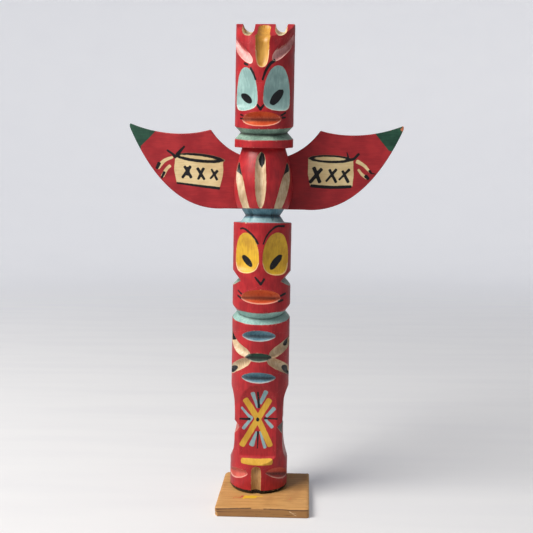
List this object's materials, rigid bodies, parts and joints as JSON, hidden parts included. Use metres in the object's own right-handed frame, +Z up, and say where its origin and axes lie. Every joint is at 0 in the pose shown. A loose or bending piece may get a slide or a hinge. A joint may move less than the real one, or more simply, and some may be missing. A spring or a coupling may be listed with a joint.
{
  "type": "totem pole",
  "caption": "Small carved and painted wooden totem pole with two stacked faces, a spread wing board and a flat base plate.",
  "frame": {"origin": "middle of the object's box, on the plane the base plate stands on", "axes": "+Z up, the carved faces look towards -Y, the wings spread along X"},
  "size_m": [0.1828, 0.0646, 0.3077],
  "materials": {
    "pole_paint": "brushed gloss enamel over carved wood, red ground with light blue, yellow, cream, pink and black details",
    "wing_paint": "thin satin red paint over flat wood, green tips and painted drums",
    "base_wood": "bare varnished softwood with worn edges"
  },
  "bodies": {
    "root": {"carved_pole": "pole_paint", "wing_board": "wing_paint", "base_plate": "base_wood"}
  },
  "joints": []
}
